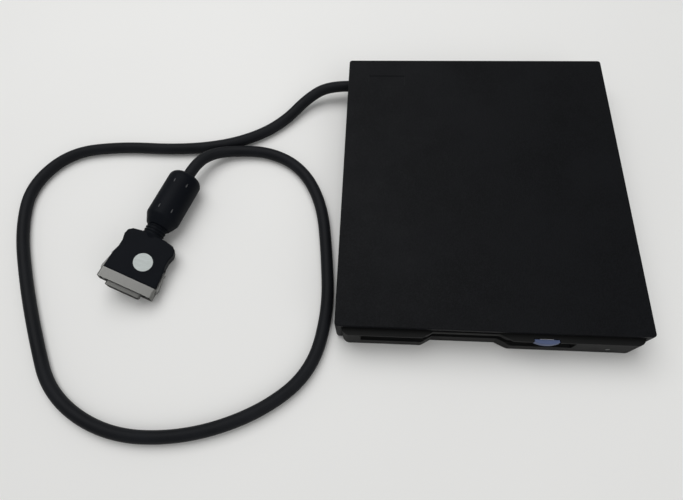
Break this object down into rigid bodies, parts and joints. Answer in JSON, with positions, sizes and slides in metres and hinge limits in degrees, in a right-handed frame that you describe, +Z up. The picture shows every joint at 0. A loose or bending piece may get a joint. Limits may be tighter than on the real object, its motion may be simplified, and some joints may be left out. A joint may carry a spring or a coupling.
{
  "type": "external floppy disk drive",
  "caption": "Slim black external floppy disk drive with a wide slot and half-moon eject button in its front moulding, and a captive black cable with a ferrite sleeve and a flat latching plug.",
  "frame": {"origin": "On the resting plane, below the middle of the case with its eject button; the cable and the plug lie to the left.", "axes": "+Z is up, -Y is the side with the disk slot, +X is to the right when looking at the slot."},
  "size_m": [0.3209, 0.2122, 0.0185],
  "materials": {
    "case_black": "satin black moulding",
    "bezel_black": "fine matt black moulding",
    "button_blue": "matt slate blue",
    "flap_black": "matt black",
    "led_smoke": "smoked lens",
    "foot_rubber": "soft matt rubber",
    "screw_zinc": "zinc plated",
    "sheet_steel": "galvanised sheet",
    "steel_bright": "bright steel",
    "board_green": "solder mask",
    "chip_black": "moulded chip bodies",
    "copper": "enamelled windings",
    "bronze": "sintered bronze",
    "nylon_grey": "moulded nylon",
    "head_white": "ceramic",
    "ribbon_white": "flat ribbon",
    "cable_black": "soft matt jacket",
    "plug_black": "matt moulding",
    "plug_metal": "satin nickel",
    "ferrite_grey": "sintered ferrite",
    "contact_gold": "gold plated",
    "label_silver": "blank foil label"
  },
  "bodies": {
    "case": {"top_cover": "case_black", "bottom_cover": "case_black", "rubber_feet": "foot_rubber", "case_screws": "screw_zinc", "front_bezel": "bezel_black", "flap_spring": "steel_bright", "led_lens": "led_smoke", "drive_chassis": "sheet_steel", "drive_top_shield": "sheet_steel", "slider_springs": "steel_bright", "main_board": "board_green", "main_board_chips": "chip_black", "spindle_bearing": "bronze", "stator_coils": "copper", "guide_rod": "steel_bright", "stepper_motor": "sheet_steel", "screw_bracket": "sheet_steel", "sensor_switches": "chip_black", "interface_board": "board_green", "board_parts": "chip_black", "flat_ribbon": "ribbon_white", "cable_socket": "nylon_grey", "drive_screws": "screw_zinc", "cable_grommet": "cable_black", "cable_clamp": "nylon_grey", "inner_leads": "cable_black", "cable": "cable_black", "plug_shell_upper": "plug_black", "plug_shell_lower": "plug_black", "plug_metal_band": "plug_metal", "contact_block": "plug_black", "plug_contacts": "contact_gold", "plug_shroud": "steel_bright", "latch_pins": "steel_bright", "plug_label": "label_silver", "plug_strain_relief": "plug_black", "plug_lead": "cable_black", "ferrite_sleeve": "plug_black", "ferrite_core": "ferrite_grey"},
    "flap": {"slot_flap": "flap_black"},
    "eject": {"eject_button": "button_blue", "eject_slider": "sheet_steel"},
    "cradle": {"disk_cradle": "sheet_steel", "cradle_pins": "steel_bright", "lever_rivet": "steel_bright"},
    "lever": {"shutter_lever": "steel_bright"},
    "turntable": {"spindle_rotor": "sheet_steel", "spindle_hub": "steel_bright", "drive_pin": "steel_bright"},
    "carriage": {"head_carriage": "nylon_grey", "lower_head": "head_white", "screw_follower": "nylon_grey", "arm_pin": "steel_bright", "arm_spring": "steel_bright"},
    "head_arm": {"upper_head_arm": "nylon_grey", "upper_head": "head_white"},
    "screw": {"lead_screw": "steel_bright"},
    "latch_left": {"plug_latch_left": "plug_metal"},
    "latch_right": {"plug_latch_right": "plug_metal"}
  },
  "joints": [
    {"name": "slot_flap_tilt", "type": "hinge", "parent": "case", "child": "flap", "pos_m": [-0.0105, -0.0756, 0.0131], "axis": [1, 0, 0], "range_deg": [0, 80], "stiffness_Nm_per_rad": 0.00004},
    {"name": "eject_slide", "type": "slide", "parent": "case", "child": "eject", "axis": [0, -1, 0], "range_m": [0, 0.0045]},
    {"name": "cradle_drop", "type": "slide", "parent": "case", "child": "cradle", "axis": [0, 0, -1], "range_m": [0, 0.0022]},
    {"name": "shutter_lever_swing", "type": "hinge", "parent": "cradle", "child": "lever", "pos_m": [0.0275, 0.0178, 0.0129], "axis": [0, 0, -1], "range_deg": [0, 38], "stiffness_Nm_per_rad": 0.00005},
    {"name": "spindle_spin", "type": "hinge", "parent": "case", "child": "turntable", "pos_m": [-0.0105, -0.0197, 0.005], "axis": [0, 0, 1], "continuous": true},
    {"name": "carriage_travel", "type": "slide", "parent": "case", "child": "carriage", "axis": [0, -1, 0], "range_m": [0, 0.016]},
    {"name": "head_arm_tilt", "type": "hinge", "parent": "carriage", "child": "head_arm", "pos_m": [-0.0105, 0.0415, 0.0129], "axis": [1, 0, 0], "range_deg": [0, 11]},
    {"name": "lead_screw_turn", "type": "hinge", "parent": "case", "child": "screw", "pos_m": [0.0115, 0.0328, 0.007], "axis": [0, 1, 0], "range_deg": [0, 1925]},
    {"name": "plug_latch_left_squeeze", "type": "hinge", "parent": "case", "child": "latch_left", "pos_m": [-0.18352, -0.04293, 0.01331], "axis": [-0.3242, 0.1091, -0.9397], "range_deg": [0, 4], "stiffness_Nm_per_rad": 0.002},
    {"name": "plug_latch_right_squeeze", "type": "hinge", "parent": "case", "child": "latch_right", "pos_m": [-0.16107, -0.05048, 0.00469], "axis": [0.3242, -0.1091, 0.9397], "range_deg": [0, 4], "stiffness_Nm_per_rad": 0.002}
  ],
  "couplings": [
    {"joint": "cradle_drop", "follows": "eject_slide", "ratio": 0.48889},
    {"joint": "head_arm_tilt", "follows": "eject_slide", "rad_per_m": 42.276},
    {"joint": "lead_screw_turn", "follows": "carriage_travel", "rad_per_m": 2094.4}
  ]
}
